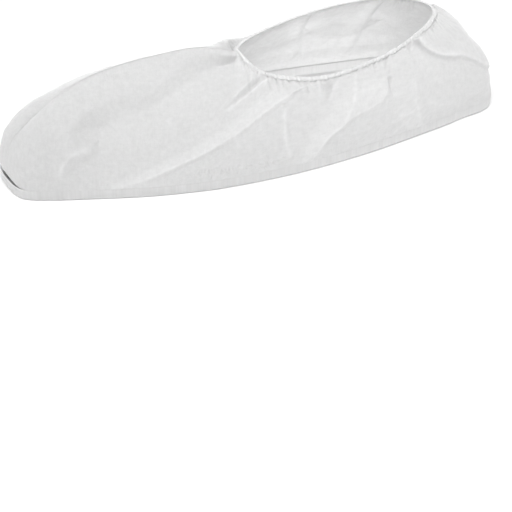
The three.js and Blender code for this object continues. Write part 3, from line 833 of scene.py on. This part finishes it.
def nonwoven(name, thin, thick, depth):
    """White spunbond cloth: cloudy fibre density, loose fibres in all directions and a fine bonded grain."""
    material, surface = shader(name)
    nodes = material.node_tree.nodes
    uv = nodes.new("ShaderNodeUVMap")
    uv.uv_map = "cloth"
    vector = uv.outputs["UV"]
    clouds = cloth_noise(material, vector, **CLOUDS)
    fibres = cloth_noise(material, vector, **FIBRES)
    crossing = cloth_noise(material, vector, **CROSSING)
    dots = bond_dots(material, vector)
    grain = math_node(material, "ADD", fibres, crossing)
    cloudy = math_node(material, "MULTIPLY", clouds, DENSITY["clouds"])
    fibrous = math_node(material, "MULTIPLY", grain, DENSITY["fibres"])
    unbonded = math_node(material, "ADD", cloudy, fibrous)
    pressed = math_node(material, "MULTIPLY", dots, BONDS["density"])
    density = math_node(material, "SUBTRACT", unbonded, pressed)
    ramp = nodes.new("ShaderNodeValToRGB")
    places = (DENSITY["thin"], DENSITY["thick"])
    for element, place, grey in zip(ramp.color_ramp.elements, places, (thin, thick)):
        element.position = place
        element.color = (grey, grey, grey, 1)
    link(material, density, ramp.inputs["Fac"])
    # The stored tone scales the base colour: whiter where cloth lies double, with painted highlights and
    # shade along folds, pleats, the seam ridge and the sole's rim
    whiter = math_node(material, "ADD", stored_value(material, "whiteness_and_painted_light"), 1.0)
    whitened = nodes.new("ShaderNodeVectorMath")
    whitened.operation = "SCALE"
    link(material, ramp.outputs["Color"], whitened.inputs[0])
    link(material, whiter, whitened.inputs["Scale"])
    link(material, whitened.outputs["Vector"], surface.inputs["Base Color"])
    height = math_node(material, "SUBTRACT", grain, math_node(material, "MULTIPLY", dots, BONDS["depth"]))
    relief = nodes.new("ShaderNodeBump")
    relief.inputs["Strength"].default_value = BUMP["strength"]
    relief.inputs["Distance"].default_value = BUMP["distance"] * MM
    link(material, height, relief.inputs["Height"])
    link(material, relief.outputs["Normal"], surface.inputs["Normal"])
    rough = math_node(material, "MULTIPLY_ADD", clouds, ROUGHNESS["clouds"], ROUGHNESS["least"])
    link(material, rough, surface.inputs["Roughness"])
    for socket, value in GLOSS.items():
        surface.inputs[socket].default_value = value
    # Light goes through a single layer and less through more of them
    single = math_node(material, "MULTIPLY_ADD", stored_value(material, "layers"), -LAP_COVER, 1.0)
    single.node.use_clamp = True
    link(material, single, surface.inputs["Subsurface Weight"])
    surface.inputs["Subsurface Radius"].default_value = (1, 1, 1)
    surface.inputs["Subsurface Scale"].default_value = depth * MM
    return material


def build_cover():
    cloths = {name: nonwoven(name, **look) for name, look in CLOTHS.items()}
    left = side_panel("left_panel_cloth", 1, LEFT_FOLDS, SEEDS[1])
    right = side_panel("right_panel_cloth", -1, RIGHT_FOLDS, SEEDS[-1])
    sole = sole_panel("sole_cloth")
    hem = ankle_hem("gathered_ankle_hem")
    for piece, node, slot, material in (
        (left, "left_side_panel", "nonwoven_cloth", "nonwoven_cloth"),
        (right, "right_side_panel", "nonwoven_cloth", "nonwoven_cloth"),
        (sole, "sole_panel", "nonwoven_cloth", "sole_cloth"),
        (hem, "ankle_elastic_hem", "gathered_hem", "gathered_hem"),
    ):
        piece.data.materials.append(cloths[material])
        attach(piece, "root")
        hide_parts(node)


FLOOR = {"size": 4.0, "segments": 8, "gap": 0.05, "grey": 0.95, "roughness": 0.9}


def floor():
    work = bmesh.new()
    level = Matrix.Translation((0, 0, -FLOOR["gap"] * MM))
    segments, size = FLOOR["segments"], FLOOR["size"]
    bmesh.ops.create_grid(work, x_segments=segments, y_segments=segments, size=size, matrix=level)
    mesh = bpy.data.meshes.new("floor")
    work.to_mesh(mesh)
    work.free()
    obj = bpy.data.objects.new("floor", mesh)
    bpy.context.scene.collection.objects.link(obj)
    material, surface = shader("pale_floor")
    surface.inputs["Base Color"].default_value = (FLOOR["grey"], FLOOR["grey"], FLOOR["grey"], 1)
    surface.inputs["Roughness"].default_value = FLOOR["roughness"]
    mesh.materials.append(material)


# The photograph's view: a long lens, with the cover high in the frame
VIEW = {
    "azimuth": 63.5,
    "elevation": 31.5,
    "sensor": 36.0,
    "focal_px": 1707.0,
    "frame_px": 512.0,
    "px_per_mm": 1.5,
    "middle_px": (248.8, 91.4),
    "middle_mm": (0.0, -4.5, 30.0),
}


def view_axes():
    a, e = math.radians(VIEW["azimuth"]), math.radians(VIEW["elevation"])
    right = Vector((math.cos(a), math.sin(a), 0))
    up = Vector((-math.sin(a) * math.sin(e), math.cos(a) * math.sin(e), math.cos(e)))
    return right, up, right.cross(up)


def camera():
    right, up, back = view_axes()
    half_frame = VIEW["frame_px"] / 2
    aside = (VIEW["middle_px"][0] - half_frame) / VIEW["px_per_mm"]
    above = (half_frame - VIEW["middle_px"][1]) / VIEW["px_per_mm"]
    distance = VIEW["focal_px"] / VIEW["px_per_mm"]
    place = Vector(VIEW["middle_mm"]) - right * aside - up * above + back * distance
    data = bpy.data.cameras.new("camera")
    data.sensor_width = VIEW["sensor"]
    data.lens = VIEW["sensor"] * VIEW["focal_px"] / VIEW["frame_px"]
    obj = bpy.data.objects.new("camera", data)
    obj.matrix_world = Matrix.Translation(place * MM) @ Matrix((right, up, back)).transposed().to_4x4()
    bpy.context.scene.collection.objects.link(obj)
    bpy.context.scene.camera = obj


# Lamps, in metres, watts and degrees; the key lamp lies in the camera's direction, raised by KEY_LIFT
KEY_LIFT = 1.0
KEY = {"distance": 2.0, "width": 1.4, "height": 1.2, "power": 25.5}
REAR = {"direction": (-0.92, 0.39, 0.05), "distance": 2.0, "width": 2.4, "height": 0.2, "power": 20.0}
STUDIO_STRENGTH = 0.676

# Light that the toe's cloth lets through on to the sole
TOE_GLOW = {
    "aim": (0, -0.077, 0), "direction": (0, 0, 1), "distance": 0.038,
    "width": 0.05, "height": 0.11, "power": 0.011, "spread": 70.0,
}


def area_light(name, direction, distance, width, height, power, aim=(0, 0, 0), spread=180.0):
    data = bpy.data.lights.new(name, "AREA")
    data.spread = math.radians(spread)
    data.shape = "RECTANGLE"
    data.size, data.size_y = width, height
    data.energy = power
    obj = bpy.data.objects.new(name, data)
    away = Vector(direction).normalized()
    obj.location = Vector(aim) + away * distance
    obj.rotation_euler = away.to_track_quat("Z", "Y").to_euler()
    obj.visible_camera = False
    bpy.context.scene.collection.objects.link(obj)


def lighting():
    back = view_axes()[2]
    area_light("key", back + Vector((0, 0, KEY_LIFT)), **KEY)
    area_light("rear", **REAR)
    area_light("toe_glow", **TOE_GLOW)
    world = bpy.data.worlds.new("studio")
    world.use_nodes = True
    background = world.node_tree.nodes["Background"]
    background.inputs["Color"].default_value = (1, 1, 1, 1)
    background.inputs["Strength"].default_value = STUDIO_STRENGTH
    bpy.context.scene.world = world
    bpy.context.scene.view_settings.view_transform = "Standard"


build_cover()
floor()
camera()
lighting()
